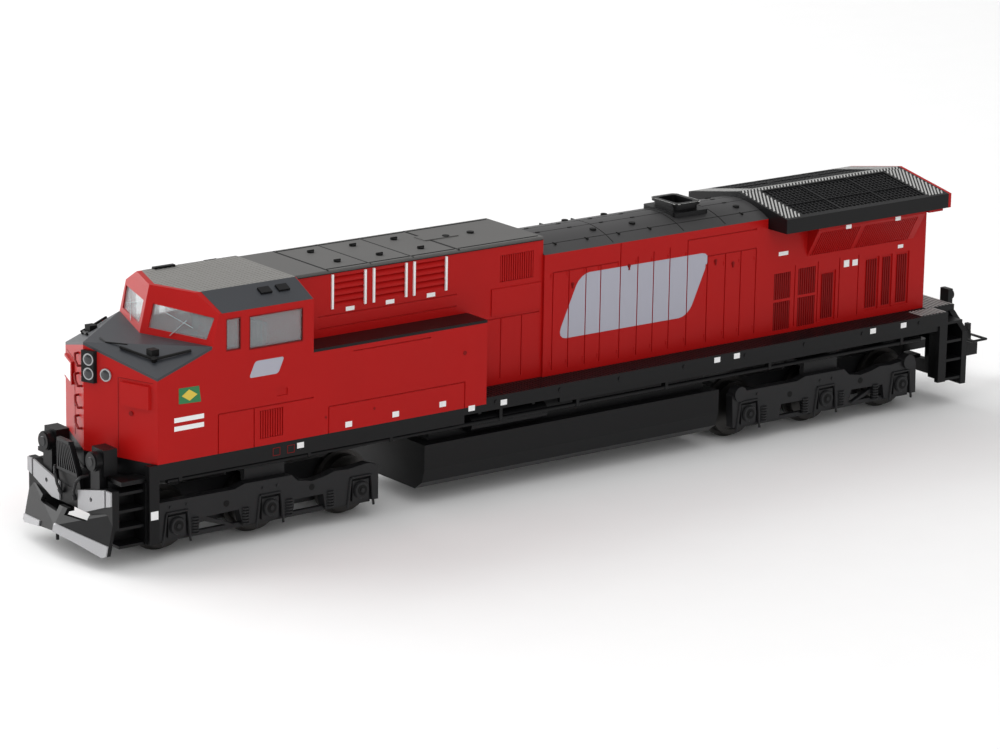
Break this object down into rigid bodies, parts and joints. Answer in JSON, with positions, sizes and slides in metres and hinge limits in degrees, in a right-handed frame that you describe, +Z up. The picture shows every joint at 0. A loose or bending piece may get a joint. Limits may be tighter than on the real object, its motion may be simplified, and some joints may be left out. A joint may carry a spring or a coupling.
{
  "type": "diesel locomotive",
  "caption": "Scale model diesel locomotive with a V-nosed wide cab, hoods over walkways, swivelling three-axle trucks with turning wheelsets and a swinging rear coupler.",
  "frame": {"origin": "on the ground plane under the centre of the model, half way between the plow tip and the rear coupler loop; z = 0 is the bottom of the wheel flanges", "axes": "+X forward towards the cab, +Y to the locomotive's left side, +Z up"},
  "size_m": [0.2575, 0.0356, 0.0549],
  "materials": {
    "black_frame": "satin black",
    "cast_weight": "cast metal",
    "clear_glass": "clear glazing",
    "dark_interior": "dark grey plastic",
    "red_shell": "satin red paint",
    "roof_grey": "satin graphite grey",
    "silver_plate": "satin silver",
    "truck_grey": "dark grey",
    "wheel_steel": "blackened steel wheel with bright tread",
    "white_trim": "white paint"
  },
  "bodies": {
    "locomotive_body": {"air_pipes": "black_frame", "blower_hood": "red_shell", "blower_roof": "roof_grey", "cab_interior": "dark_interior", "cab_roof": "roof_grey", "cab_roof_vents": "black_frame", "cab_shell": "red_shell", "cab_windows": "clear_glass", "cabinet_ledge": "black_frame", "coupler_pocket": "black_frame", "engine_hood": "red_shell", "engine_hood_roof": "roof_grey", "equipment_cabinet": "red_shell", "exhaust_stack": "black_frame", "front_ditch_lights": "black_frame", "front_grating": "black_frame", "front_pilot": "black_frame", "fuel_tank": "black_frame", "headlight_housing": "black_frame", "louvre_bars": "white_trim", "lower_skirt": "black_frame", "main_frame": "black_frame", "motor_block": "cast_weight", "nose_cover": "roof_grey", "number_boxes": "red_shell", "radiator_hood": "red_shell", "radiator_rear_cap": "red_shell", "radiator_roof": "black_frame", "rear_deck": "black_frame", "rear_ditch_lights": "black_frame", "rear_pilot": "black_frame", "silver_plates": "silver_plate", "snow_plow": "black_frame", "step_wells": "black_frame", "walkways": "black_frame"},
    "front_truck": {"front_truck_frame": "truck_grey", "front_truck_sideframes": "truck_grey"},
    "rear_truck": {"rear_truck_frame": "truck_grey", "rear_truck_sideframes": "truck_grey"},
    "rear_coupler_arm": {"rear_coupler": "black_frame"},
    "front_front_wheelset": {"front_truck_front_wheelset": "wheel_steel"},
    "front_middle_wheelset": {"front_truck_middle_wheelset": "wheel_steel"},
    "front_rear_wheelset": {"front_truck_rear_wheelset": "wheel_steel"},
    "rear_front_wheelset": {"rear_truck_front_wheelset": "wheel_steel"},
    "rear_middle_wheelset": {"rear_truck_middle_wheelset": "wheel_steel"},
    "rear_rear_wheelset": {"rear_truck_rear_wheelset": "wheel_steel"}
  },
  "joints": [
    {"name": "front_truck_swivel", "type": "hinge", "parent": "locomotive_body", "child": "front_truck", "pos_m": [0.0852, 0, 0.0172], "axis": [0, 0, 1], "range_deg": [-8, 8]},
    {"name": "front_front_axle_spin", "type": "hinge", "parent": "front_truck", "child": "front_front_wheelset", "pos_m": [0.10824, 0, 0.007], "axis": [0, 1, 0], "continuous": true},
    {"name": "front_middle_axle_spin", "type": "hinge", "parent": "front_truck", "child": "front_middle_wheelset", "pos_m": [0.0852, 0, 0.007], "axis": [0, 1, 0], "continuous": true},
    {"name": "front_rear_axle_spin", "type": "hinge", "parent": "front_truck", "child": "front_rear_wheelset", "pos_m": [0.06216, 0, 0.007], "axis": [0, 1, 0], "continuous": true},
    {"name": "rear_truck_swivel", "type": "hinge", "parent": "locomotive_body", "child": "rear_truck", "pos_m": [-0.068, 0, 0.0172], "axis": [0, 0, 1], "range_deg": [-8, 8]},
    {"name": "rear_front_axle_spin", "type": "hinge", "parent": "rear_truck", "child": "rear_front_wheelset", "pos_m": [-0.04496, 0, 0.007], "axis": [0, 1, 0], "continuous": true},
    {"name": "rear_middle_axle_spin", "type": "hinge", "parent": "rear_truck", "child": "rear_middle_wheelset", "pos_m": [-0.068, 0, 0.007], "axis": [0, 1, 0], "continuous": true},
    {"name": "rear_rear_axle_spin", "type": "hinge", "parent": "rear_truck", "child": "rear_rear_wheelset", "pos_m": [-0.09104, 0, 0.007], "axis": [0, 1, 0], "continuous": true},
    {"name": "rear_coupler_swing", "type": "hinge", "parent": "locomotive_body", "child": "rear_coupler_arm", "pos_m": [-0.1046, 0, 0.0107], "axis": [0, 0, 1], "range_deg": [-12, 12]}
  ]
}
